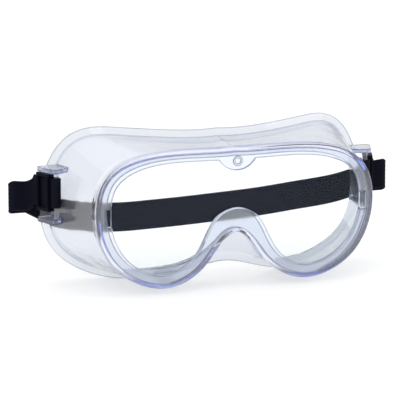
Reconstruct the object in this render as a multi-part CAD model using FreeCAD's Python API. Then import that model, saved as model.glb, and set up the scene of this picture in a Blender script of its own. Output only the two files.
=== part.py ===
import FreeCAD, Part
import math
import os

from FreeCAD import Vector

os.makedirs("parts", exist_ok=True)

# Clear splash goggles with a soft one-piece frame, a snap-in lens and an elastic head strap.
# Millimetres. X to the wearer's left, Y from the lens towards the face, Z up, rest plane at Z = 0.
# While modelling, Y = 0 is the front of the rim; save() centres the depth on the origin.

# ---- overall sizes ----
rim_width = 150.8       # outside of the front rim
rim_height = 70.7       # from the lowest point of the rim to its top edge
rim_lift = 2.9          # the rim's lowest point above the rest plane
face_width = 178.0      # over the flange that seals against the face
face_height = 80.8      # lowest to highest point of that flange
temple_depth = 53.0     # flange edge at the temples behind the rim's front
# ---- frame moulding ----
rim_depth = 9.0         # straight part of the rim before the wall flares
wall = 1.7              # side wall of the soft frame
flange_reach = 3.8      # how far the flange lip turns outwards
flange_back = 1.6       # how far the lip runs back over that reach
flange_thick = 1.2
edge_round = 2.2        # radius of the front outer edge of the rim
round_steps = 4         # flats that make up that rounding
lip_chamfer = 0.5       # front inner edge of the lip
lip_front = 2.0         # thickness of the lip in front of the lens
lip_back = 1.8          # thickness of the ledge behind the lens
ledge_inset = 1.2       # the ledge behind the lens stops this much short of the front lip
groove_depth = 2.3      # groove floor, inwards from the rim's outside
# ---- lens ----
lens_thick = 2.0
lens_gap = 0.15         # clearance between lens and groove
# ---- lip details ----
tab_half = 10.0         # half width of the rounded tab at the top of the lip
tab_drop = 5.8
boss_radius = 2.5       # plain round boss on the tab
boss_height = 0.5
boss_rise = 2.4         # the boss's lower edge above the tab's
boss_wall = 0.9         # the boss is a ring of this wall round a flat middle
window_height = 9.4     # side windows that the lens catches sit in
window_width = 3.2
window_inset = 6.2      # its middle, inwards from the widest place of the rim
window_drop = 3.6       # and below that place
catch_gap = 0.2
# ---- strap and lugs ----
strap_width = 15.6
strap_thick = 1.1
strap_z = 47.4          # middle of the lugs
strap_rise = {"left": 0.4, "right": 2.0}   # how far up its lug the webbing has slipped on each side
lug_inset = 3.4         # lug bar centre, inwards from the widest place of the flange
lug_ahead = 17.0        # and in front of the flange edge at the temples
lug_bar_radius = 1.2
lug_angle = 20.0        # the strap leaves the lug this far outwards from straight back, degrees
shelf_corner = 1.5      # corners cut off the shelves
shelf_gap = 0.3         # lug shelf to the nearest slide
shelf_thick = 2.2       # the lug shelves above and below the strap
shelf_length = 13.5     # from the bar back along the strap
shelf_front = 2.0       # from the bar forward
shelf_margin = 3.0      # shelf edge outside the strap line
shelf_root = (14.0, 4.0)    # where the shelf meets the side wall, in front of the flange edge
slide_travel = 4.0      # straight webbing left behind each slide, which it can be pushed along
fold_out = 12.1         # from the end of the straight webbing outwards to the fold
fold_back = 6.3        # and backwards to the rear run
fold_radius = 2.2       # middle of the webbing where it folds
bend_radius = 4.5      # the gentle bend behind the slide
run_drop = 5.8          # the fold lies this much lower than the lug end
inboard = 9.0           # webbing past the fold that belongs to the side run
wrap_gap = 0.2          # webbing to lug bar
# ---- strap slides ----
slide_length = 10.0
slide_start = 1.8       # front end of the slide behind the bar centre
slide_rail = 1.7        # side rails of the slide
slide_bar = 2.0         # length of each cross bar
slide_face = 1.3        # thickness of the cross bars over the strap
slide_gap = 0.3         # slide to webbing
slide_clear = 0.5       # straight webbing left behind the slide at the end of its travel
# ---- rear run: height of its middle at places along X, from the right fold to the left one ----
rear_heights = [
    (-81.0, 35.7),
    (-66.0, 31.8),
    (-52.0, 30.4),
    (-36.0, 30.0),
    (24.0, 32.4),
    (55.0, 35.0),
    (76.0, 37.3),
]
tack_length = 3.0       # sewn tack that closes each strap end
tack_thick = 0.5
tack_margin = 1.5       # webbing left plain above and below the tack
tack_gap = 0.2          # tack to the slide's middle bar

# Half of the moulding from top middle to nose middle. Each row is one place on it: the rim's outside as
# shares of half width and height, the lip width in front of the lens in millimetres, and the flange edge as
# shares of half face width, temple depth and face height.
KEYS = [
    (0.0, 1.0, 5.7, 0.0, 0.595, 0.976),
    (0.30, 1.0, 5.7, 0.33, 0.64, 0.982),
    (0.56, 0.992, 5.8, 0.57, 0.77, 0.998),
    (0.73, 0.960, 6.3, 0.735, 0.87, 0.994),
    (0.86, 0.90, 6.9, 0.86, 0.94, 0.925),
    (0.955, 0.79, 7.3, 0.955, 0.982, 0.77),
    (1.0, 0.60, 7.5, 1.0, 1.0, 0.55),
    (0.975, 0.385, 7.5, 0.985, 0.994, 0.33),
    (0.88, 0.19, 7.5, 0.90, 0.972, 0.165),
    (0.72, 0.055, 7.5, 0.765, 0.928, 0.062),
    (0.51, 0.0, 7.5, 0.595, 0.86, 0.006),
    (0.33, 0.055, 7.7, 0.43, 0.735, 0.008),
    (0.21, 0.16, 8.1, 0.30, 0.57, 0.045),
    (0.115, 0.295, 9.8, 0.16, 0.43, 0.098),
    (0.0, 0.378, 13.0, 0.0, 0.38, 0.135),
]
WIDEST = KEYS[6][1]     # share of the rim's height at which it is widest
STATIONS = 42           # sections along each half of the moulding
EXTRA = 2               # sections past the middle at each end, so that the halves meet smoothly

slot = lens_thick + 2 * lens_gap
ledge_y = lip_front + slot + lip_back
along_x = math.sin(math.radians(lug_angle))
along_y = math.cos(math.radians(lug_angle))
lug_x = face_width / 2 - lug_inset
lug_y = temple_depth - lug_ahead
lug_opening = strap_width + 2 * (slide_gap + slide_rail + max(strap_rise.values()) + shelf_gap)
layer = lug_bar_radius + wrap_gap + strap_thick / 2   # middle of each webbing layer from the strap line
joint_t = slide_start + slide_length + slide_travel + slide_clear   # the loop hands over to the side run here
fold_x = lug_x + joint_t * along_x + layer * along_y + fold_out
fold_y = lug_y + joint_t * along_y - layer * along_x + fold_back

# The key places of the rim, of the flange edge, and of the rim again with the lip's width in Y.
RIMS = [Vector(r[0] * rim_width / 2, 0, rim_lift + r[1] * rim_height) for r in KEYS]
EDGES = [Vector(r[3] * face_width / 2, r[4] * temple_depth, r[5] * face_height) for r in KEYS]
LIPS = [Vector(p.x, r[2], p.z) for p, r in zip(RIMS, KEYS)]


def whole_loop(rows):
    """Closed run of points from a half: the half itself and its mirror image back to the start."""
    return rows + [Vector(-p.x, p.y, p.z) for p in rows[-2:0:-1]]


def loop_parameters():
    """Shared parameters for the rim and flange curves, from the mean of their spacings."""
    marks = [0.0]
    rims = whole_loop(RIMS)
    edges = whole_loop(EDGES)
    for i in range(len(rims)):
        j = (i + 1) % len(rims)
        marks.append(marks[-1] + ((rims[j] - rims[i]).Length + (edges[j] - edges[i]).Length) / 2)
    return marks


def smooth_loop(rows):
    """Closed smooth curve through the key points, with the shared parameters."""
    curve = Part.BSplineCurve()
    curve.interpolate(Points=whole_loop(rows), PeriodicFlag=True, Parameters=loop_parameters())
    return curve


RIM_CURVE = smooth_loop(RIMS)
EDGE_CURVE = smooth_loop(EDGES)
LIP_CURVE = smooth_loop(LIPS)
HALF_SPAN = loop_parameters()[len(KEYS) - 1]
FULL_SPAN = loop_parameters()[-1]


def place(k):
    """Parameter of station k on the closed curves; stations past the ends continue round the loop."""
    return (k / (STATIONS - 1) * HALF_SPAN) % FULL_SPAN


def rim_point(k):
    """Outside of the rim at station k."""
    return RIM_CURVE.value(place(k))


def edge_point(k):
    """Outer edge of the face flange at station k."""
    return EDGE_CURVE.value(place(k))


def outward(curve, k):
    """Outward normal in the XZ plane of a closed curve at station k."""
    run = curve.tangent(place(k))[0]
    normal = Vector(-run.z, 0, run.x)
    return normal.normalize()


def fold_point(k):
    """Corner where the side wall turns into the flange lip."""
    return edge_point(k) - outward(EDGE_CURVE, k) * flange_reach - Vector(0, flange_back, 0)


def section(k):
    """Closed section of the frame at station k: lip, groove, ledge, wall and flange."""
    rim = rim_point(k)
    n = outward(RIM_CURVE, k)
    lip = LIP_CURVE.value(place(k)).y

    def at(inset, y):
        return rim - n * inset + Vector(0, y, 0)

    edge = edge_point(k)
    fold = fold_point(k)
    thick = Vector(0, flange_thick, 0)
    inner_fold = fold + thick - outward(EDGE_CURVE, k) * wall
    groove_back = lip_front + slot
    nose = []
    for i in range(round_steps + 1):
        turn = math.pi / 2 * i / round_steps
        nose.append(at(edge_round * (1 - math.sin(turn)), edge_round * (1 - math.cos(turn))))
    return [at(lip, lip_chamfer), at(lip - lip_chamfer, 0)] + nose + [
        at(0, rim_depth),
        fold, edge, edge + thick, inner_fold, at(wall, rim_depth), at(wall, ledge_y),
        at(lip - ledge_inset, ledge_y), at(lip - ledge_inset, groove_back), at(groove_depth, groove_back),
        at(groove_depth, lip_front), at(lip, lip_front),
    ]


def half_frame():
    """The moulding on the +X side, lofted from top middle to nose middle and cut at X = 0."""
    rings = []
    for k in range(-EXTRA, STATIONS + EXTRA):
        corners = section(k)
        rings.append(Part.makePolygon(corners + corners[:1]))
    ring = Part.makeLoft(rings, True, False)
    corner = Vector(0, -temple_depth / 2, -face_height / 2)
    return ring.common(Part.makeBox(face_width, 2 * temple_depth, 2 * face_height, corner))


def outline(inset, y):
    """Closed smooth wire at a distance inside the rim's outline."""
    points = []
    for k in range(STATIONS):
        points.append(rim_point(k) - outward(RIM_CURVE, k) * inset + Vector(0, y, 0))
    curve = Part.BSplineCurve()
    curve.interpolate(Points=whole_loop(points), PeriodicFlag=True)
    return Part.Wire([curve.toShape()])


def mirror(shape):
    return shape.mirror(Vector(0, 0, 0), Vector(1, 0, 0))


def wall_x(y, z):
    """X of the side wall's outside at a depth and height."""
    best = None
    for k in range(STATIONS // 5, STATIONS * 3 // 4):
        a = rim_point(k) + Vector(0, rim_depth, 0)
        b = fold_point(k)
        v = (y - a.y) / (b.y - a.y)
        here = a + (b - a) * v
        if best is not None and here.z <= z <= best.z:
            share = (best.z - z) / (best.z - here.z)
            return best.x + (here.x - best.x) * share
        best = here
    return best.x


def strap_frame(t, n, z=0.0):
    """Point on the +X side: t back along the strap from the lug bar, n outwards from the strap line."""
    return Vector(lug_x + t * along_x + n * along_y, lug_y + t * along_y - n * along_x, strap_z + z)


def block(t0, t1, n0, n1, z0, z1):
    """Box along the strap line on the +X side."""
    corners = [strap_frame(t, n, z0) for t, n in ((t0, n0), (t1, n0), (t1, n1), (t0, n1))]
    return Part.Face(Part.makePolygon(corners + corners[:1])).extrude(Vector(0, 0, z1 - z0))


def lug():
    """Two shelves on the temple and the upright bar that the strap loops round."""
    solids = []
    for low in (lug_opening / 2, -lug_opening / 2 - shelf_thick):
        mid = strap_z + low + shelf_thick / 2
        path = [
            strap_frame(-shelf_front, -shelf_corner, low),
            strap_frame(-shelf_front, shelf_margin - shelf_corner, low),
            strap_frame(-shelf_front + shelf_corner, shelf_margin, low),
            strap_frame(shelf_length - shelf_corner, shelf_margin, low),
            strap_frame(shelf_length, shelf_margin - shelf_corner, low),
        ]
        for ahead in reversed(shelf_root):
            y = temple_depth - ahead
            path.append(Vector(wall_x(y, mid) - wall / 2, y, strap_z + low))
        solids.append(Part.Face(Part.makePolygon(path + path[:1])).extrude(Vector(0, 0, shelf_thick)))
    half = (lug_opening + shelf_thick) / 2
    solids.append(Part.makeCylinder(lug_bar_radius, 2 * half, strap_frame(0, 0, -half), Vector(0, 0, 1)))
    return solids


def tab_and_boss():
    """Rounded tab at the top of the front lip with a plain raised boss."""
    top = rim_point(0).z - KEYS[0][2]
    radius = (tab_half ** 2 + tab_drop ** 2) / (2 * tab_drop)
    centre = Vector(0, 0, top - tab_drop + radius)
    disc = Part.makeCylinder(radius, lip_front, centre, Vector(0, 1, 0))
    corner = Vector(-2 * tab_half, 0, top - tab_drop)
    keep = Part.makeBox(4 * tab_half, lip_front, tab_drop + KEYS[0][2] / 2, corner)
    tab = disc.common(keep)
    foot = Vector(0, -boss_height, top - tab_drop + boss_rise + boss_radius)
    boss = Part.makeCylinder(boss_radius, boss_height + lip_front / 10, foot, Vector(0, 1, 0))
    hollow = Part.makeCylinder(boss_radius - boss_wall, boss_height, foot, Vector(0, 1, 0))
    return tab, boss.cut(hollow)


def window(gap):
    """Side opening in the front lip, or with a gap the lens catch that sits in it."""
    x = rim_width / 2 - window_inset
    z = rim_lift + WIDEST * rim_height - window_drop
    height = window_height - 2 * gap
    width = window_width - 2 * gap
    return Part.makeBox(width, lip_front + lens_gap + 1, height, Vector(x - width / 2, -1, z - height / 2))


def frame_body():
    half = half_frame()
    body = half.fuse([mirror(half)])
    tab, boss = tab_and_boss()
    extras = [tab, boss]
    for piece in lug():
        extras += [piece, mirror(piece)]
    body = body.fuse(extras)
    body = body.cut([window(0), mirror(window(0))])
    return body.removeSplitter()


def lens():
    sheet = Part.Face(outline(groove_depth + lens_gap, lip_front + lens_gap))
    plate = sheet.extrude(Vector(0, lens_thick, 0))
    catch = window(catch_gap)
    catch = catch.common(Part.makeBox(rim_width, lip_front, 2 * rim_height, Vector(0, 0.5, 0)))
    return plate.fuse([catch, mirror(catch)]).removeSplitter()


def ribbon(points, radii):
    """Webbing of even thickness along a level route of runs joined by arcs at strap_z."""
    edges = []
    at = points[0]
    for i in range(1, len(points) - 1):
        before = (points[i - 1] - points[i]).normalize()
        after = (points[i + 1] - points[i]).normalize()
        half = before.getAngle(after) / 2
        radius = radii[i - 1]
        start = points[i] + before * (radius / math.tan(half))
        end = points[i] + after * (radius / math.tan(half))
        middle = (before + after).normalize()
        edges.append(Part.LineSegment(at, start).toShape())
        edges.append(Part.Arc(start, points[i] + middle * (radius / math.sin(half) - radius), end).toShape())
        at = end
    edges.append(Part.LineSegment(at, points[-1]).toShape())
    along = (points[1] - points[0]).normalize()
    across = Vector(0, 0, 1).cross(along) * (strap_thick / 2)
    up = Vector(0, 0, strap_width / 2)
    first = points[0]
    corners = [first - across - up, first + across - up, first + across + up, first - across + up]
    profile = Part.makePolygon(corners + corners[:1])
    return Part.Wire(edges).makePipeShell([profile], True, False)


def strap_loop():
    """Webbing round the lug bar: outer layer, turn, and the return layer that ends at the slide."""
    tail = slide_start + slide_length / 2
    low, high = -strap_width / 2, strap_width / 2
    outer = block(0, joint_t, layer - strap_thick / 2, layer + strap_thick / 2, low, high)
    inner = block(0, tail, -layer - strap_thick / 2, -layer + strap_thick / 2, low, high)
    base = strap_frame(0, 0, low)
    turn = Part.makeCylinder(layer + strap_thick / 2, strap_width, base, Vector(0, 0, 1))
    turn = turn.cut(Part.makeCylinder(layer - strap_thick / 2, strap_width, base, Vector(0, 0, 1)))
    turn = turn.common(block(-2 * layer, 0, -2 * layer, 2 * layer, low, high))
    return outer.fuse([inner, turn]).removeSplitter()


def strap_run():
    """Webbing from the slide back to the fold and a little way round it, falling as it goes."""
    start = strap_frame(joint_t, layer)
    bend = strap_frame(joint_t + bend_radius, layer)
    corner = Vector(fold_x, fold_y, strap_z)
    turn = corner - Vector(0, 2 * fold_radius, 0)
    end = corner - Vector(inboard, 0, 0)
    level = ribbon([start, bend, turn, corner, end], [bend_radius, fold_radius, fold_radius])
    fall = run_drop / (fold_y - start.y)
    shear = FreeCAD.Matrix()
    shear.A32 = -fall
    shear.A34 = fall * start.y
    return level.transformGeometry(shear)


def rear_line():
    """Middle line of the rear run in the XZ plane, from the right fold to the left one."""
    reach = fold_x - inboard
    first = Vector(-reach, fold_y, strap_z + strap_rise["right"] - run_drop)
    last = Vector(reach, fold_y, strap_z + strap_rise["left"] - run_drop)
    return [first] + [Vector(x, fold_y, z) for x, z in rear_heights] + [last]


def strap_rear():
    """The run of webbing that lies behind the frame, dropping between its two folds."""
    line = rear_line()
    half = Vector(0, 0, strap_width / 2)
    front = Vector(0, -strap_thick / 2, 0)
    edges = []
    for rim in (half, -half):
        curve = Part.BSplineCurve()
        curve.interpolate(Points=[p + rim + front for p in line])
        edges.append(curve.toShape())
    for end in (line[0], line[-1]):
        edges.append(Part.makeLine(end + half + front, end - half + front))
    wire = Part.Wire(Part.__sortEdges__(edges))
    return Part.Face(wire).extrude(Vector(0, strap_thick, 0))


def slide():
    """Strap slide: two rails, end bars over the strap and a middle bar between its layers."""
    inside = strap_width / 2 + slide_gap
    outside = inside + slide_rail
    core = layer - strap_thick / 2 - slide_gap
    face = layer + strap_thick / 2 + slide_gap
    first, last = slide_start, slide_start + slide_length
    middle = (first + last) / 2
    solids = [
        block(first, last, -core, face + slide_face, inside, outside),
        block(first, last, -core, face + slide_face, -outside, -inside),
        block(first, first + slide_bar, face, face + slide_face, -inside, inside),
        block(last - slide_bar, last, face, face + slide_face, -inside, inside),
        block(middle - slide_bar / 2, middle + slide_bar / 2, -core, core, -inside, inside),
    ]
    return solids[0].fuse(solids[1:]).removeSplitter()


def tack():
    """Block of stitching that closes the return layer beside the slide's middle bar."""
    end = slide_start + (slide_length - slide_bar) / 2 - tack_gap
    skin = -layer - strap_thick / 2
    half = strap_width / 2 - tack_margin
    return block(end - tack_length, end, skin - tack_thick, skin, -half, half)


def save(name, shape, lowest):
    """Write one piece, moved so that the depth is centred on the origin and the goggles rest on Z = 0."""
    back = fold_y + strap_thick / 2
    shape = shape.translated(Vector(0, (boss_height - back) / 2, -lowest))
    print(name, "valid", shape.isValid(), "solids", len(shape.Solids), "volume", round(shape.Volume, 1))
    shape.exportStep("parts/" + name + ".step")


body = frame_body()
rest = body.optimalBoundingBox().ZMin
save("frame_body", body, rest)
save("lens", lens(), rest)
save("strap_rear", strap_rear(), rest)
for piece, make in (
    ("strap_loop", strap_loop),
    ("strap_run", strap_run),
    ("strap_slide", slide),
    ("strap_tack", tack),
):
    solid = make()
    for side in ("left", "right"):
        placed = solid if side == "left" else mirror(solid)
        save(piece + "_" + side, placed.translated(Vector(0, 0, strap_rise[side])), rest)
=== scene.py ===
"""Clear splash goggles: soft moulded frame, polished lens, elastic head strap and its two slides.

Lengths are in metres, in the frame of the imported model: +X to the wearer's left, +Y towards the face and
+Z up.
"""
import itertools
import logging
import math
from dataclasses import dataclass, field
from enum import Enum
from typing import Iterable, Sequence

import bmesh
import bpy
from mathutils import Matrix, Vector


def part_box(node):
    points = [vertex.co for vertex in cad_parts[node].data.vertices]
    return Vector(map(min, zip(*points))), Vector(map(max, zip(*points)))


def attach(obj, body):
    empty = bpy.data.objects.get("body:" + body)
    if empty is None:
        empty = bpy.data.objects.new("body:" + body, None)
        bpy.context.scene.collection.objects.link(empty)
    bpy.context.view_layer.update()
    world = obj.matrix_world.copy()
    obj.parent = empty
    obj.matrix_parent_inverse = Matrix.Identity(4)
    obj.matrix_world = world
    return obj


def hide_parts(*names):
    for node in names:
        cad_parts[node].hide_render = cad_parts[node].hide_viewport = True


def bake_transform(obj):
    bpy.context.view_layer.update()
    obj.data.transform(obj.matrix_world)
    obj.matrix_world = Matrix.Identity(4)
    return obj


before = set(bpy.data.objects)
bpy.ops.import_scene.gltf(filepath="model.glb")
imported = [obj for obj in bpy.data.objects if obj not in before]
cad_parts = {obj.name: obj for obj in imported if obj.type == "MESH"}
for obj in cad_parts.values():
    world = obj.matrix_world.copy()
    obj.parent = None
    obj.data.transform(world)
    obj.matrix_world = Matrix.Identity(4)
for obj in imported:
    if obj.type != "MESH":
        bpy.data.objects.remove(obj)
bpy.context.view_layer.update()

LOG = logging.getLogger("safety_goggles")
MM = 0.001
UP = Vector((0.0, 0.0, 1.0))
WHITE = (1.0, 1.0, 1.0, 1.0)


class Side(Enum):
    """Side of the wearer, with the sign that X takes there."""

    LEFT = 1
    RIGHT = -1

    @property
    def word(self) -> str:
        """The side's name in lower case."""
        return self.name.lower()


# ---------------------------------------------------------------------------------------------- finishes


class NodeSheet:
    """Small helper that adds and links shader nodes in one material."""

    def __init__(self, name: str) -> None:
        """Make an empty node material.

        Args:
            name: the material's name.
        """
        self.material = bpy.data.materials.new(name)
        self.material.use_nodes = True
        self.tree = self.material.node_tree
        self.tree.nodes.clear()
        self.output = self.add("ShaderNodeOutputMaterial")
        self.shader = self.add("ShaderNodeBsdfPrincipled")
        self.link(self.shader.outputs["BSDF"], self.output.inputs["Surface"])

    def add(self, kind: str, **settings: object) -> bpy.types.Node:
        """Add a node and set its plain properties.

        Args:
            kind: the node type.
            settings: properties of the node, by name.

        Returns:
            The new node.
        """
        node = self.tree.nodes.new(kind)
        for key, value in settings.items():
            setattr(node, key, value)
        return node

    def link(self, source: bpy.types.NodeSocket, target: bpy.types.NodeSocket) -> None:
        """Join two sockets."""
        self.tree.links.new(source, target)

    def feed(self, socket: bpy.types.NodeSocket, value: object) -> None:
        """Put a number, colour or another node's output into a socket."""
        if isinstance(value, bpy.types.NodeSocket):
            self.link(value, socket)
        else:
            socket.default_value = value

    def math(self, operation: str, *values: object) -> bpy.types.NodeSocket:
        """Add a Math node.

        Args:
            operation: the Math node's operation.
            values: one to three numbers or sockets.

        Returns:
            The node's output.
        """
        node = self.add("ShaderNodeMath", operation=operation)
        for socket, value in zip(node.inputs, values):
            self.feed(socket, value)
        return node.outputs[0]

    def noise(self, size: float, detail: float = 3.0, roughness: float = 0.5) -> bpy.types.NodeSocket:
        """Noise in object space.

        Args:
            size: size of one blotch, in metres.
            detail: octaves of finer noise.
            roughness: weight of the finer octaves.

        Returns:
            The noise's value, 0 to 1.
        """
        place = self.add("ShaderNodeTexCoord")
        node = self.add("ShaderNodeTexNoise")
        self.link(place.outputs["Object"], node.inputs["Vector"])
        node.inputs["Scale"].default_value = 1.0 / size
        node.inputs["Detail"].default_value = detail
        node.inputs["Roughness"].default_value = roughness
        return node.outputs["Fac"]

    def spread(self, value: bpy.types.NodeSocket, low: float, high: float) -> bpy.types.NodeSocket:
        """Map 0 to 1 onto low to high."""
        node = self.add("ShaderNodeMapRange")
        self.link(value, node.inputs["Value"])
        node.inputs["To Min"].default_value = low
        node.inputs["To Max"].default_value = high
        return node.outputs["Result"]

    def blend(
        self, factor: bpy.types.NodeSocket, first: object, second: Sequence[float]
    ) -> bpy.types.NodeSocket:
        """Mix two colours.

        Args:
            factor: share of the second colour.
            first: a colour, or another node's output.
            second: a colour.

        Returns:
            The mixed colour.
        """
        node = self.add("ShaderNodeMix", data_type="RGBA")
        self.link(factor, node.inputs["Factor"])
        self.feed(node.inputs["A"], first if isinstance(first, bpy.types.NodeSocket) else (*first, 1.0))
        node.inputs["B"].default_value = (*second, 1.0)
        return node.outputs["Result"]

    def ramp(self, value: bpy.types.NodeSocket, low: float, high: float = 1.0) -> bpy.types.NodeSocket:
        """Smooth step from 0 where the value is low to 1 where it is high."""
        node = self.add("ShaderNodeMapRange", interpolation_type="SMOOTHSTEP")
        self.link(value, node.inputs["Value"])
        node.inputs["From Min"].default_value = low
        node.inputs["From Max"].default_value = high
        return node.outputs["Result"]

    def bump(self, height: bpy.types.NodeSocket, depth: float, strength: float = 1.0) -> None:
        """Feed a height field into the shader's normal, after any bump already there.

        Args:
            height: the field, 0 to 1.
            depth: height of 1, in metres.
            strength: share of the bump that shows.
        """
        node = self.add("ShaderNodeBump")
        node.inputs["Distance"].default_value = depth
        node.inputs["Strength"].default_value = strength
        self.link(height, node.inputs["Height"])
        normal = self.shader.inputs["Normal"]
        if normal.is_linked:
            self.link(normal.links[0].from_socket, node.inputs["Normal"])
        self.link(node.outputs["Normal"], normal)


@dataclass(frozen=True)
class ClearPlastic:
    """Clear moulded plastic whose thick edges gather a colour, with painted shade on its edges and a paler
    painted-light front.
    """

    name: str
    tint: tuple[float, float, float]
    # front_painted_light_tint: painted light, the paler colour of the moulding's front part.
    front_painted_light_tint: tuple[float, float, float]
    front_end: float
    # grazing_painted_shade: painted shade, the darker colour given to edges seen edge-on.
    grazing_painted_shade: tuple[float, float, float]
    grazing_start: float
    # outline: painted shade, the dark colour painted along sharp edges.
    outline: tuple[float, float, float]
    outline_width: float
    gleam: tuple[float, float, float]
    milk: float
    shine: float
    refraction: float
    smooth: float
    hazy: float
    ripple_size: float
    ripple_depth: float
    edge_colour: tuple[float, float, float]
    edge_density: float
    shine_roughness: float = 0.04
    haze_size: float = 0.4
    haze_detail: float = 6.0
    haze_roughness: float = 0.6
    front_fade: float = 1.0 * MM
    outline_samples: int = 6
    outline_faint: float = 0.975
    outline_full: float = 0.88

    def material(self) -> bpy.types.Material:
        """Build the node material and return it."""
        sheet = NodeSheet(self.name)
        shader = sheet.shader
        shader.inputs["Transmission Weight"].default_value = 1.0 - self.milk
        shader.inputs["IOR"].default_value = self.refraction
        shader.inputs["Coat Weight"].default_value = self.shine
        shader.inputs["Coat Roughness"].default_value = self.shine_roughness
        shader.inputs["Specular Tint"].default_value = (*self.gleam, 1.0)
        behind = self.behind_front(sheet)
        # Painted light: the front part is painted paler than the walls behind it.
        bulk = sheet.blend(behind, self.front_painted_light_tint, self.tint)
        # Painted shade: in the front part, edges seen edge-on are painted darker with the grazing colour.
        painted_shade_share = sheet.math("MULTIPLY", self.sidelong(sheet), sheet.math("SUBTRACT", 1.0, behind))
        body = sheet.blend(painted_shade_share, bulk, self.grazing_painted_shade)
        # Painted shade: a dark outline is painted along sharp edges.
        sheet.link(sheet.blend(self.near_edge(sheet), body, self.outline), shader.inputs["Base Color"])
        haze = sheet.noise(self.ripple_size * self.haze_size, self.haze_detail, self.haze_roughness)
        sheet.link(sheet.spread(haze, self.smooth, self.hazy), shader.inputs["Roughness"])
        sheet.bump(sheet.noise(self.ripple_size, detail=1.0), self.ripple_depth)
        volume = sheet.add("ShaderNodeVolumeAbsorption")
        volume.inputs["Color"].default_value = (*self.edge_colour, 1.0)
        volume.inputs["Density"].default_value = self.edge_density
        sheet.link(volume.outputs["Volume"], sheet.output.inputs["Volume"])
        return sheet.material

    def sidelong(self, sheet: NodeSheet) -> bpy.types.NodeSocket:
        """How edge-on the clear surface is seen: 0 up to a start, rising smoothly to 1 at full grazing."""
        facing = sheet.add("ShaderNodeLayerWeight")
        facing.inputs["Blend"].default_value = 0.5
        return sheet.ramp(facing.outputs["Facing"], self.grazing_start)

    def behind_front(self, sheet: NodeSheet) -> bpy.types.NodeSocket:
        """Share of the walls' tint: 0 in the moulding's front part, which is painted paler as painted
        light, 1 in the walls behind it.
        """
        place = sheet.add("ShaderNodeTexCoord")
        parts = sheet.add("ShaderNodeSeparateXYZ")
        sheet.link(place.outputs["Object"], parts.inputs["Vector"])
        return sheet.ramp(
            parts.outputs["Y"], self.front_end - self.front_fade, self.front_end + self.front_fade
        )

    def near_edge(self, sheet: NodeSheet) -> bpy.types.NodeSocket:
        """How near a sharp edge the surface is, the mask of the painted dark outline: 1 on the edge, 0
        from the outline's width onwards.
        """
        rounded = sheet.add("ShaderNodeBevel", samples=self.outline_samples)
        rounded.inputs["Radius"].default_value = self.outline_width
        shape = sheet.add("ShaderNodeNewGeometry")
        agree = sheet.add("ShaderNodeVectorMath", operation="DOT_PRODUCT")
        sheet.link(rounded.outputs["Normal"], agree.inputs[0])
        sheet.link(shape.outputs["Normal"], agree.inputs[1])
        return sheet.ramp(agree.outputs["Value"], self.outline_faint, self.outline_full)


@dataclass(frozen=True)
class ElasticWebbing:
    """Black woven elastic: rows of small oval stitches, fuzz and a soft sheen."""

    name: str = "elastic_webbing"
    thread: tuple[float, float, float] = (0.0030, 0.0036, 0.0090)
    worn: tuple[float, float, float] = (0.0055, 0.0065, 0.0150)
    rib: float = 0.85 * MM
    pick: float = 1.25 * MM
    relief: float = 0.06 * MM
    crown: float = 0.6
    fuzz_size: float = 0.12 * MM
    fuzz_relief: float = 0.4
    patch_size: float = 9.0 * MM
    patch_low: float = 0.55
    smooth: float = 0.62
    rough: float = 0.9
    specular: float = 0.08
    sheen: float = 0.02
    sheen_roughness: float = 0.4

    def material(self) -> bpy.types.Material:
        """Build the node material and return it."""
        sheet = NodeSheet(self.name)
        uv = sheet.add("ShaderNodeUVMap", uv_map="length_width")
        parts = sheet.add("ShaderNodeSeparateXYZ")
        sheet.link(uv.outputs["UV"], parts.inputs["Vector"])
        across = sheet.math("DIVIDE", parts.outputs["Y"], self.rib)
        row = sheet.math("FLOOR", across)
        stagger = sheet.math("MULTIPLY", sheet.math("MODULO", row, 2.0), 0.5)
        along = sheet.math("ADD", sheet.math("DIVIDE", parts.outputs["X"], self.pick), stagger)
        stitch = sheet.math("MULTIPLY", self.hump(sheet, across), self.hump(sheet, along))
        fuzz = sheet.noise(self.fuzz_size, detail=4.0, roughness=0.7)
        patch = sheet.noise(self.patch_size, detail=2.0)
        shade = sheet.math("MULTIPLY", stitch, sheet.spread(patch, self.patch_low, 1.0))
        colour = sheet.blend(shade, self.thread, self.worn)
        sheet.link(colour, sheet.shader.inputs["Base Color"])
        sheet.link(sheet.spread(fuzz, self.smooth, self.rough), sheet.shader.inputs["Roughness"])
        sheet.shader.inputs["Specular IOR Level"].default_value = self.specular
        sheet.shader.inputs["Sheen Weight"].default_value = self.sheen
        sheet.shader.inputs["Sheen Roughness"].default_value = self.sheen_roughness
        sheet.bump(stitch, self.relief)
        sheet.bump(fuzz, self.relief * self.fuzz_relief)
        return sheet.material

    def hump(self, sheet: NodeSheet, place: bpy.types.NodeSocket) -> bpy.types.NodeSocket:
        """Rounded ridge, 0 at whole numbers and 1 half-way between them."""
        wave = sheet.math("SINE", sheet.math("MULTIPLY", sheet.math("FRACT", place), math.pi))
        return sheet.math("POWER", wave, self.crown)


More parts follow.
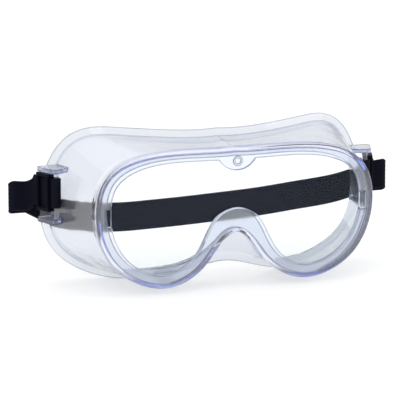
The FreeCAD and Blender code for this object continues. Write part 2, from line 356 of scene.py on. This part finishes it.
@dataclass(frozen=True)
class MouldedBlack:
    """Black moulded plastic: fine grain, satin skin and paler worn edges."""

    name: str = "moulded_black"
    skin: tuple[float, float, float] = (0.0024, 0.0029, 0.0068)
    worn: tuple[float, float, float] = (0.0045, 0.0052, 0.0105)
    grain: float = 0.25 * MM
    grain_depth: float = 0.02 * MM
    grain_strength: float = 0.6
    wear_low: float = -4.2
    wear_high: float = 4.6
    wear_size: float = 2.0 * MM
    smooth: float = 0.34
    rough: float = 0.55
    specular: float = 0.05

    def material(self) -> bpy.types.Material:
        """Build the node material and return it."""
        sheet = NodeSheet(self.name)
        edges = sheet.add("ShaderNodeNewGeometry")
        ridges = sheet.spread(edges.outputs["Pointiness"], self.wear_low, self.wear_high)
        wear = sheet.math("MULTIPLY", ridges, sheet.noise(self.wear_size))
        wear = sheet.math("MINIMUM", sheet.math("MAXIMUM", wear, 0.0), 1.0)
        sheet.link(sheet.blend(wear, self.skin, self.worn), sheet.shader.inputs["Base Color"])
        grain = sheet.noise(self.grain, detail=4.0)
        sheet.link(sheet.spread(grain, self.smooth, self.rough), sheet.shader.inputs["Roughness"])
        sheet.shader.inputs["Specular IOR Level"].default_value = self.specular
        sheet.bump(grain, self.grain_depth, self.grain_strength)
        return sheet.material


@dataclass(frozen=True)
class SewingThread:
    """Black polyester thread with a twisted ply."""

    name: str = "sewing_thread"
    dark: tuple[float, float, float] = (0.018, 0.018, 0.022)
    light: tuple[float, float, float] = (0.060, 0.060, 0.068)
    ply: float = 0.30 * MM
    twist: float = 0.16
    twist_depth: float = 0.04 * MM
    rough: float = 0.55
    sheen: float = 0.2

    def material(self) -> bpy.types.Material:
        """Build the node material and return it."""
        sheet = NodeSheet(self.name)
        place = sheet.add("ShaderNodeTexCoord")
        wave = sheet.add("ShaderNodeTexWave", wave_type="BANDS", bands_direction="DIAGONAL")
        sheet.link(place.outputs["Object"], wave.inputs["Vector"])
        wave.inputs["Scale"].default_value = self.twist / self.ply
        colour = sheet.blend(wave.outputs["Fac"], self.dark, self.light)
        sheet.link(colour, sheet.shader.inputs["Base Color"])
        sheet.shader.inputs["Roughness"].default_value = self.rough
        sheet.shader.inputs["Sheen Weight"].default_value = self.sheen
        sheet.bump(wave.outputs["Fac"], self.twist_depth)
        return sheet.material


@dataclass(frozen=True)
class StudioPaper:
    """Matt white background paper with a faint tooth, lit from below as on a light table."""

    name: str = "studio_paper"
    colour: tuple[float, float, float] = (0.60, 0.60, 0.60)
    glow: float = 0.50
    tooth: float = 0.8 * MM
    smooth: float = 0.85
    rough: float = 0.95
    specular: float = 0.1

    def material(self) -> bpy.types.Material:
        """Build the node material and return it."""
        sheet = NodeSheet(self.name)
        tooth = sheet.noise(self.tooth)
        sheet.shader.inputs["Base Color"].default_value = (*self.colour, 1.0)
        sheet.shader.inputs["Specular IOR Level"].default_value = self.specular
        sheet.link(sheet.spread(tooth, self.smooth, self.rough), sheet.shader.inputs["Roughness"])
        sheet.shader.inputs["Emission Color"].default_value = WHITE
        sheet.shader.inputs["Emission Strength"].default_value = self.glow
        return sheet.material


# ------------------------------------------------------------------------------------------- mesh helpers


def add_object(name: str, data: bpy.types.ID | None) -> bpy.types.Object:
    """Make an object from its data and put it in the scene."""
    thing = bpy.data.objects.new(name, data)
    bpy.context.scene.collection.objects.link(thing)
    return thing


def shade_smooth(mesh: bpy.types.Mesh) -> None:
    """Shade every face of a mesh smoothly."""
    mesh.polygons.foreach_set("use_smooth", [True] * len(mesh.polygons))


def mesh_object(name: str, points: Iterable[Vector], faces: Iterable[Sequence[int]]) -> bpy.types.Object:
    """Make a smooth-shaded mesh object in the scene.

    Args:
        name: the object's name.
        points: vertex places.
        faces: corner numbers of each face.

    Returns:
        The new object.
    """
    mesh = bpy.data.meshes.new(name)
    mesh.from_pydata([tuple(p) for p in points], [], [tuple(f) for f in faces])
    shade_smooth(mesh)
    mesh.update()
    return add_object(name, mesh)


def dress(piece: bpy.types.Object, material: bpy.types.Material) -> None:
    """Give a new piece its material."""
    piece.data.materials.clear()
    piece.data.materials.append(material)


def report(piece: bpy.types.Object) -> None:
    """Log one finished piece."""
    LOG.info("%s: %d points", piece.name, len(piece.data.vertices))


@dataclass(frozen=True)
class Step:
    """One place along a strap: its middle, the way its face looks, and its distance along the strap."""

    at: Vector
    face: Vector
    along: float


@dataclass(frozen=True)
class Tape:
    """Flat woven tape with rounded, slightly thicker edges."""

    width: float
    thick: float
    columns: int = 26
    bead: float = 0.10 * MM
    bead_middle: float = 0.93
    bead_reach: float = 0.07
    rib: float = 0.05 * MM
    ribs: int = 7
    round_start: float = 0.96
    round_reach: float = 0.04

    def section(self) -> list[tuple[float, float]]:
        """Closed outline of the tape as (across, proud) pairs, going once round."""
        half = self.width / 2
        face = []
        for i in range(self.columns + 1):
            across = -1.0 + 2.0 * i / self.columns
            bead = self.bead * max(0.0, 1.0 - abs(abs(across) - self.bead_middle) / self.bead_reach)
            rib = self.rib * math.cos(across * self.ribs * math.pi)
            beyond = max(0.0, abs(across) - self.round_start)
            fall = math.sqrt(max(0.0, 1.0 - beyond ** 2 / self.round_reach ** 2))
            face.append((across * half, (self.thick / 2 - self.bead + bead + rib) * fall))
        return face + [(across, -proud) for across, proud in reversed(face[1:-1])]

    def along(self, name: str, steps: Sequence[Step]) -> bpy.types.Object:
        """Sweep the tape, with its width upright, along a list of places.

        Args:
            name: the new piece's name.
            steps: places along the strap, in order.

        Returns:
            The new piece, with its length and width in the UV map.
        """
        outline = self.section()
        count = len(outline)
        points = []
        marks = []
        for step in steps:
            for index, (across, proud) in enumerate(outline):
                points.append(step.at + UP * across + step.face * proud)
                marks.append((step.along, across + (self.width if index > count // 2 else 0.0)))
        faces = []
        for row in range(len(steps) - 1):
            for i in range(count):
                j = (i + 1) % count
                here, ahead = row * count, (row + 1) * count
                faces.append((here + i, here + j, ahead + j, ahead + i))
        last = (len(steps) - 1) * count
        faces.append(tuple(range(count)))
        faces.append(tuple(last + i for i in reversed(range(count))))
        piece = mesh_object(name, points, faces)
        layer = piece.data.uv_layers.new(name="length_width")
        for loop in piece.data.loops:
            layer.data[loop.index].uv = marks[loop.vertex_index]
        self.turn_outwards(piece)
        return piece

    @staticmethod
    def turn_outwards(piece: bpy.types.Object) -> None:
        """Point every face of a closed piece outwards."""
        work = bmesh.new()
        work.from_mesh(piece.data)
        bmesh.ops.recalc_face_normals(work, faces=work.faces)
        work.to_mesh(piece.data)
        work.free()


# ------------------------------------------------------------------------------------------ sub-assemblies


@dataclass
class ClearMouldings:
    """The soft frame and the lens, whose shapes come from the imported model."""

    pvc: ClearPlastic = ClearPlastic(
        name="soft_clear_pvc",
        tint=(0.80, 0.825, 0.86),
        # Painted light: the front part is painted paler than the walls.
        front_painted_light_tint=(0.95, 0.965, 0.995),
        front_end=-19.0 * MM,
        # Painted shade: grazing_painted_shade darkens edges seen edge-on.
        grazing_painted_shade=(0.36, 0.42, 0.90),
        grazing_start=0.60,
        # Painted shade: outline is the dark colour painted along sharp edges.
        outline=(0.02, 0.025, 0.10),
        outline_width=0.9 * MM,
        gleam=(1.0, 1.0, 1.0),
        milk=0.08,
        shine=0.5,
        refraction=1.26,
        smooth=0.04,
        hazy=0.18,
        ripple_size=14 * MM,
        ripple_depth=0.14 * MM,
        edge_colour=(0.25, 0.38, 0.98),
        edge_density=32.0,
    )
    polycarbonate: ClearPlastic = ClearPlastic(
        name="polished_lens",
        tint=(0.93, 0.96, 0.965),
        front_painted_light_tint=(0.93, 0.96, 0.965),
        front_end=0.0,
        # Painted shade: grazing_painted_shade darkens edges seen edge-on.
        grazing_painted_shade=(0.70, 0.78, 0.85),
        grazing_start=0.8,
        # Painted shade: outline is the colour painted along sharp edges.
        outline=(0.45, 0.55, 0.70),
        outline_width=0.5 * MM,
        gleam=(0.72, 0.80, 1.0),
        milk=0.0,
        shine=0.0,
        refraction=1.25,
        smooth=0.0,
        hazy=0.02,
        ripple_size=60 * MM,
        ripple_depth=0.05 * MM,
        edge_colour=(0.55, 0.72, 0.75),
        edge_density=18.0,
    )
    rounding: float = 0.35 * MM
    rounded_from: float = math.radians(40)

    def build(self) -> None:
        """Dress the frame and the lens."""
        self.finish("frame_body", self.pvc.material())
        self.finish("lens", self.polycarbonate.material())

    def finish(self, node: str, material: bpy.types.Material) -> None:
        """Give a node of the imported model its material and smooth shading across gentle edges.

        Args:
            node: the node's name.
            material: its material.
        """
        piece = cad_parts[node]
        for place in piece.material_slots:
            place.material = material
        rounding = piece.modifiers.new("rounded_edges", "BEVEL")
        rounding.width = self.rounding
        rounding.segments = 2
        rounding.limit_method = "ANGLE"
        rounding.angle_limit = self.rounded_from
        rounding.use_clamp_overlap = True
        evening = piece.modifiers.new("even_shading", "WEIGHTED_NORMAL")
        evening.keep_sharp = False
        report(piece)


@dataclass
class StrapRoute:
    """Where the webbing of one side runs: round the lug bar, through the slide, and back to its fold."""

    side: Side
    width: float = 15.6 * MM
    thick: float = 1.1 * MM
    bar_radius: float = 1.2 * MM
    wrap_gap: float = 0.2 * MM
    angle: float = math.radians(20)
    handover: float = 16.3 * MM
    slide_end: float = 16.0 * MM
    tail: float = 8.4 * MM
    bend_radius: float = 4.5 * MM
    fold_radius: float = 2.2 * MM
    fold_x: float = 105.1 * MM
    inboard: float = 9.0 * MM
    drop: float = 5.8 * MM
    early: float = 0.55
    fold_start: float = 1.2 * MM
    hinge_reach: float = 1.6
    tail_steps: int = 14
    tail_lift: float = 0.35 * MM
    tail_lift_from: float = 0.75
    wrap_steps: int = 25
    outer_steps: int = 21

    def __post_init__(self) -> None:
        """Find the lug bar and the webbing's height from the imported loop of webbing."""
        low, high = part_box("strap_loop_" + self.side.word)
        self.layer = self.bar_radius + self.wrap_gap + self.thick / 2
        outer = self.layer + self.thick / 2
        inner_x = low[0] if self.side is Side.LEFT else -high[0]
        self.bar = Vector((inner_x + outer, low[1] + outer, (low[2] + high[2]) / 2))
        rear_low, rear_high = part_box("strap_rear")
        self.fold_y = (rear_low[1] + rear_high[1]) / 2

    def place(self, along: float, out: float, height: float = 0.0) -> Vector:
        """Point at a distance back from the bar along the strap, outwards from its line, and up."""
        sine, cosine = math.sin(self.angle), math.cos(self.angle)
        x = self.bar.x + along * sine + out * cosine
        y = self.bar.y + along * cosine - out * sine
        return Vector((x * self.side.value, y, self.bar.z + height))

    def face(self) -> Vector:
        """Outward way of the outer layer."""
        return Vector((math.cos(self.angle) * self.side.value, -math.sin(self.angle), 0.0))

    def loop_steps(self) -> list[Step]:
        """Places from the webbing's cut end, forwards, round the bar and back past the slide."""
        steps = []
        for i in range(self.tail_steps + 1):
            along = self.tail * (1 - i / self.tail_steps)
            lift = self.tail_lift * max(0.0, along / self.tail - self.tail_lift_from)
            steps.append((self.place(along, -self.layer - lift), -self.face()))
        for i in range(1, self.wrap_steps):
            turn = math.pi * i / self.wrap_steps
            way = Vector((-math.sin(turn), -math.cos(turn)))
            middle = self.place(way.x * self.layer, way.y * self.layer)
            steps.append((middle, (middle - self.place(0, 0)).normalized()))
        for i in range(self.outer_steps + 1):
            along = self.slide_end * i / self.outer_steps
            steps.append((self.place(along, self.layer), self.face()))
        return measured(steps)

    def side_steps(self) -> list[Step]:
        """Places from behind the slide, out to the fold and a little way back along the rear run."""
        start = self.place(self.slide_end, self.layer)
        bend = self.place(self.handover + self.bend_radius, self.layer)
        sign = self.side.value
        corner = Vector((self.fold_x * sign, self.fold_y, self.bar.z))
        turn = corner - Vector((0, 2 * self.fold_radius, 0))
        end = corner - Vector((self.inboard * sign, 0, 0))
        radii = [self.bend_radius, self.fold_radius, self.fold_radius]
        line = rounded_line([start, bend, turn, corner, end], radii)
        hinge_y = self.place(self.handover, self.layer).y
        lowered = []
        for point in line:
            share = max(0.0, (point.y - hinge_y) / (self.fold_y - hinge_y))
            lowered.append(point - UP * self.drop * share ** self.early)
        steps = []
        for i, point in enumerate(lowered):
            ahead = line[min(i + 1, len(line) - 1)] - line[max(i - 1, 0)]
            steps.append((point, ahead.cross(UP).normalized() * sign))
        return measured(steps)

    def split(self, steps: list[Step]) -> tuple[list[Step], list[Step], list[Step]]:
        """Cut the side places into the stretch at the hinge, the stretch out to the fold, and the fold."""
        bend = self.place(self.handover + self.hinge_reach * self.bend_radius, self.layer)
        outermost = max(abs(step.at.x) for step in steps)
        cut = next(i for i, step in enumerate(steps) if abs(step.at.x) > abs(bend.x))
        fold = next(i for i, step in enumerate(steps) if abs(step.at.x) > outermost - self.fold_start)
        return steps[: cut + 1], steps[cut : fold + 1], steps[fold:]


def measured(rows: Sequence[tuple[Vector, Vector]]) -> list[Step]:
    """Add the distance along the strap to (middle, face) pairs."""
    steps = []
    total = 0.0
    for i, (at, face) in enumerate(rows):
        if i:
            total += (at - rows[i - 1][0]).length
        steps.append(Step(at, face, total))
    return steps


def rounded_line(
    corners: Sequence[Vector], radii: Sequence[float], pitch: float = 0.5 * MM
) -> list[Vector]:
    """Points along straight runs joined by round bends.

    Args:
        corners: ends and corners of the route.
        radii: bend radius at each inner corner.
        pitch: greatest distance between two points.

    Returns:
        Points in order, both ends among them.
    """
    points = [corners[0]]

    def run_to(goal: Vector) -> None:
        """Go on from the last point to a goal in a straight run."""
        start = points[-1].copy()
        count = max(1, math.ceil((goal - start).length / pitch))
        points.extend(start.lerp(goal, i / count) for i in range(1, count + 1))

    for i, radius in enumerate(radii, start=1):
        before = (corners[i - 1] - corners[i]).normalized()
        after = (corners[i + 1] - corners[i]).normalized()
        half = before.angle(after) / 2
        run_to(corners[i] + before * radius / math.tan(half))
        centre = corners[i] + (before + after).normalized() * radius / math.sin(half)
        first = points[-1] - centre
        sweep = math.pi - 2 * half
        axis = before.cross(after).normalized()
        count = max(3, math.ceil(sweep * radius / pitch))
        for step in range(1, count + 1):
            arm = first.copy()
            angle = -sweep * step / count
            arm = arm * math.cos(angle) + axis.cross(arm) * math.sin(angle)
            points.append(centre + arm)
    run_to(corners[-1])
    return points


@dataclass
class HeadStrap:
    """The elastic head strap: two loops on the lugs, two side runs and the rear run."""

    webbing: bpy.types.Material
    routes: list[StrapRoute]
    rear_heights: tuple[tuple[float, float], ...] = (
        (-81.0 * MM, 35.65 * MM),
        (-66.0 * MM, 31.75 * MM),
        (-52.0 * MM, 30.35 * MM),
        (-36.0 * MM, 29.95 * MM),
        (24.0 * MM, 32.35 * MM),
        (55.0 * MM, 34.95 * MM),
        (76.0 * MM, 37.25 * MM),
    )
    rear_pitch: float = 1.0 * MM
    ripple: float = 0.12 * MM
    ripple_length: float = 7.0 * MM
    ripple_fade: int = 12
    tape: Tape = field(init=False)

    def __post_init__(self) -> None:
        """Set up the strap's webbing."""
        self.tape = Tape(self.routes[0].width, self.routes[0].thick)

    def build(self) -> None:
        """Build every run of webbing and hang it on its bodies."""
        for route in self.routes:
            self.build_side(route)
        self.build_rear()

    def run(self, name: str, steps: Sequence[Step]) -> bpy.types.Object:
        """Build one run of webbing along its places and return it."""
        piece = self.tape.along(name, steps)
        dress(piece, self.webbing)
        report(piece)
        return piece

    def build_side(self, route: StrapRoute) -> None:
        """Build one side's loop, its stretch at the hinge, its stretch to the fold, and the fold.

        Args:
            route: that side's route.
        """
        word = route.side.word
        loop = self.run("webbing_loop_" + word, route.loop_steps())
        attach(loop, "goggles")
        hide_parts("strap_loop_" + word)
        near, far, turn = route.split(route.side_steps())
        hinge = self.run("webbing_hinge_" + word, near)
        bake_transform(hinge)
        reach = self.run("webbing_side_" + word, far)
        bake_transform(reach)
        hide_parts("strap_run_" + word)
        fold = self.run("webbing_fold_" + word, turn)
        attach(fold, "strap_back")

    def build_rear(self) -> None:
        """Build the run behind the frame, between the two folds."""
        ends = {route.side: route.side_steps()[-1].at for route in self.routes}
        knots = [ends[Side.RIGHT]]
        knots += [Vector((x, ends[Side.RIGHT].y, z)) for x, z in self.rear_heights]
        knots.append(ends[Side.LEFT])
        line = smooth_through(knots, self.rear_pitch)
        rows = []
        for i, point in enumerate(line):
            fade = min(1.0, i / self.ripple_fade, (len(line) - 1 - i) / self.ripple_fade)
            wave = self.ripple * math.sin(point.x / self.ripple_length) * fade
            rows.append((point + Vector((0, wave, 0)), Vector((0, 1, 0))))
        rear = self.run("webbing_rear", measured(rows))
        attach(rear, "strap_back")
        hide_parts("strap_rear")


def smooth_through(knots: Sequence[Vector], pitch: float) -> list[Vector]:
    """Smooth line through knots, evenly spaced in X.

    Args:
        knots: points that the line passes, with X rising.
        pitch: distance between two points of the line.

    Returns:
        The line's points.
    """
    slopes = []
    for i, knot in enumerate(knots):
        before = knots[max(i - 1, 0)]
        after = knots[min(i + 1, len(knots) - 1)]
        slopes.append((after.z - before.z) / (after.x - before.x))
    line = []
    for i in range(len(knots) - 1):
        a, b = knots[i], knots[i + 1]
        span = b.x - a.x
        count = max(2, math.ceil(span / pitch))
        for step in range(count):
            t = step / count
            z = (2 * t ** 3 - 3 * t ** 2 + 1) * a.z + (t ** 3 - 2 * t ** 2 + t) * span * slopes[i]
            z += (3 * t ** 2 - 2 * t ** 3) * b.z + (t ** 3 - t ** 2) * span * slopes[i + 1]
            line.append(Vector((a.x + span * t, a.y + (b.y - a.y) * t, z)))
    line.append(knots[-1].copy())
    return line


@dataclass
class StrapSlide:
    """Moulded slide that sets the strap's length: two rails, end bars and a middle bar."""

    route: StrapRoute
    plastic: bpy.types.Material
    start: float = 1.8 * MM
    length: float = 10.0 * MM
    rail: float = 1.7 * MM
    bar: float = 2.0 * MM
    plate: float = 1.3 * MM
    gap: float = 0.3 * MM
    bevel: float = 0.2 * MM
    ridge: float = 0.45 * MM

    def build(self) -> None:
        """Build the slide as one moulded piece and hang it on its body."""
        word = self.route.side.word
        layer = self.route.layer
        inside = self.route.width / 2 + self.gap
        outside = inside + self.rail
        core = layer - self.route.thick / 2 - self.gap
        face = layer + self.route.thick / 2 + self.gap
        top = face + self.plate
        last = self.start + self.length
        middle = (self.start + last) / 2
        boxes = [
            (self.start, last, -core, top, inside, outside),
            (self.start, last, -core, top, -outside, -inside),
            (self.start, self.start + self.bar, face, top, -inside, inside),
            (last - self.bar, last, face, top, -inside, inside),
            (middle - self.bar / 2, middle + self.bar / 2, -core, core, -inside, inside),
        ]
        for first in (self.start, last - self.bar):
            grip = first + self.bar / 4
            boxes.append((grip, grip + self.bar / 2, top, top + self.ridge, -inside, inside))
        mesh = self.joined("slide_" + word, boxes)
        piece = add_object("slide_" + word, mesh)
        rounding = piece.modifiers.new("rounding", "BEVEL")
        rounding.width = self.bevel
        rounding.segments = 3
        rounding.limit_method = "ANGLE"
        shade_smooth(mesh)
        evening = piece.modifiers.new("evening", "WEIGHTED_NORMAL")
        evening.keep_sharp = True
        dress(piece, self.plastic)
        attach(piece, "slide_" + word)
        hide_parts("strap_slide_" + word)
        report(piece)

    def joined(self, name: str, boxes: Sequence[Sequence[float]]) -> bpy.types.Mesh:
        """Join straight blocks into one closed skin with no faces inside.

        Args:
            name: the mesh's name.
            boxes: low and high distance along, outwards and up of each block.

        Returns:
            The mesh.
        """
        cuts = [
            sorted({limit for box in boxes for limit in box[2 * axis : 2 * axis + 2]}) for axis in range(3)
        ]

        def solid(cell: Sequence[int]) -> bool:
            """Whether a cell of the grid of cuts lies inside one of the blocks."""
            if any(not 0 <= at < len(cuts[axis]) - 1 for axis, at in enumerate(cell)):
                return False
            middle = [(cuts[axis][at] + cuts[axis][at + 1]) / 2 for axis, at in enumerate(cell)]
            return any(all(box[2 * a] < middle[a] < box[2 * a + 1] for a in range(3)) for box in boxes)

        work = bmesh.new()
        corners: dict[tuple[int, ...], bmesh.types.BMVert] = {}
        for cell in itertools.product(*(range(len(row) - 1) for row in cuts)):
            for axis, step in itertools.product(range(3), (0, 1)):
                beyond = [at + (2 * step - 1) * (a == axis) for a, at in enumerate(cell)]
                if not solid(cell) or solid(beyond):
                    continue
                ring = []
                for first, second in ((0, 0), (1, 0), (1, 1), (0, 1)):
                    key = list(cell)
                    key[axis] += step
                    key[(axis + 1) % 3] += first
                    key[(axis + 2) % 3] += second
                    spot = tuple(key)
                    if spot not in corners:
                        distances = (cuts[a][at] for a, at in enumerate(spot))
                        corners[spot] = work.verts.new(self.route.place(*distances))
                    ring.append(corners[spot])
                work.faces.new(ring)
        bmesh.ops.recalc_face_normals(work, faces=work.faces)
        flat = math.radians(1)
        bmesh.ops.dissolve_limit(work, angle_limit=flat, verts=work.verts, edges=work.edges)
        mesh = bpy.data.meshes.new(name)
        work.to_mesh(mesh)
        work.free()
        return mesh


@dataclass
class BarTack:
    """Zigzag of thread that closes the webbing's cut end."""

    route: StrapRoute
    thread: bpy.types.Material
    stitches: int = 22
    reach: float = 3.0 * MM
    end: float = 5.6 * MM
    margin: float = 1.7 * MM
    radius: float = 0.17 * MM
    sunk: float = 0.5
    cross: float = 0.25 * MM
    dip: float = 0.3 * MM
    climb: float = 0.15 * MM

    def build(self) -> None:
        """Build the zigzag as one thread and hang it on the frame."""
        word = self.route.side.word
        skin = -self.route.layer - self.route.thick / 2 - self.radius * self.sunk
        half = self.route.width / 2 - self.margin
        curve = bpy.data.curves.new("tack_" + word, "CURVE")
        curve.dimensions = "3D"
        curve.bevel_depth = self.radius
        curve.bevel_resolution = 3
        curve.use_fill_caps = True
        rows = []
        for i in range(self.stitches + 1):
            along = self.end - (self.reach if i % 2 else 0.0)
            height = -half + 2 * half * i / self.stitches
            rows.append(self.route.place(along, skin, height))
            beyond = along + (-self.cross if i % 2 else self.cross)
            rows.append(self.route.place(beyond, skin + self.dip, height + self.climb))
        spline = curve.splines.new("POLY")
        spline.points.add(len(rows) - 1)
        for point, row in zip(spline.points, rows):
            point.co = (*row, 1.0)
        line = add_object("tack_line_" + word, curve)
        bpy.context.view_layer.update()
        mesh = bpy.data.meshes.new_from_object(line.evaluated_get(bpy.context.evaluated_depsgraph_get()))
        bpy.data.objects.remove(line)
        piece = add_object("stitching_" + word, mesh)
        shade_smooth(mesh)
        dress(piece, self.thread)
        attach(piece, "goggles")
        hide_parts("strap_tack_" + word)
        report(piece)


@dataclass(frozen=True)
class SoftLight:
    """Square soft light that faces the goggles."""

    name: str
    place: tuple[float, float, float]
    size: float
    power: float
    aim: tuple[float, float, float] = (0.0, 0.0, 0.04)

    def build(self) -> None:
        """Add the light to the scene."""
        data = bpy.data.lights.new(self.name, "AREA")
        data.shape = "SQUARE"
        data.size = self.size
        data.energy = self.power
        lamp = add_object(self.name, data)
        lamp.location = self.place
        lamp.rotation_euler = (Vector(self.aim) - Vector(self.place)).to_track_quat("-Z", "Y").to_euler()


@dataclass
class Studio:
    """Flat white paper, soft lights and the camera."""

    turn: float = math.radians(-20.0)
    lift: float = math.radians(11.4)
    distance: float = 1.6
    target: tuple[float, float, float] = (-9.6 * MM, 1.475 * MM, 41.6 * MM)
    lens: float = 277.9
    sensor: float = 36.0
    far_limit: float = 50.0
    floor_half: float = 6.0
    surround: float = 0.8
    lights: tuple[SoftLight, ...] = (
        SoftLight("overhead_light", (0.0, 0.6, 2.2), size=3.2, power=14.0),
        SoftLight("key_light", (-1.0, -1.2, 1.3), size=0.9, power=5.0),
        SoftLight("fill_light", (1.4, -0.6, 0.9), size=0.9, power=3.0),
    )

    def build(self) -> None:
        """Set the stage, the lights and the camera."""
        self.add_floor()
        self.add_world()
        for light in self.lights:
            light.build()
        self.add_camera()

    def add_floor(self) -> None:
        """Add the paper that the goggles rest on."""
        r = self.floor_half
        points = [Vector((x, y, 0.0)) for x, y in ((-r, -r), (r, -r), (r, r), (-r, r))]
        floor = mesh_object("paper_floor", points, [(0, 1, 2, 3)])
        floor.data.materials.append(StudioPaper().material())

    def add_world(self) -> None:
        """Set an even white surround."""
        world = bpy.data.worlds.new("white_tent")
        world.use_nodes = True
        ground = world.node_tree.nodes["Background"]
        ground.inputs["Color"].default_value = WHITE
        ground.inputs["Strength"].default_value = self.surround
        bpy.context.scene.world = world

    def add_camera(self) -> None:
        """Add the camera and make it the scene's own."""
        data = bpy.data.cameras.new("camera")
        data.lens = self.lens
        data.sensor_width = self.sensor
        data.clip_end = self.far_limit
        camera = add_object("camera", data)
        flat = math.cos(self.lift)
        away = Vector((math.sin(self.turn) * flat, -math.cos(self.turn) * flat, math.sin(self.lift)))
        target = Vector(self.target)
        camera.location = target + away * self.distance
        camera.rotation_euler = (-away).to_track_quat("-Z", "Y").to_euler()
        bpy.context.scene.camera = camera
        bpy.context.scene.view_settings.view_transform = "Standard"


def main() -> None:
    """Build the goggles and the studio, in order."""
    logging.basicConfig(level=logging.INFO, format="%(name)s: %(message)s")
    ClearMouldings().build()
    routes = [StrapRoute(side) for side in Side]
    HeadStrap(ElasticWebbing().material(), routes).build()
    plastic = MouldedBlack().material()
    thread = SewingThread().material()
    for route in routes:
        StrapSlide(route, plastic).build()
        BarTack(route, thread).build()
    Studio().build()


if __name__ == "__main__":
    main()
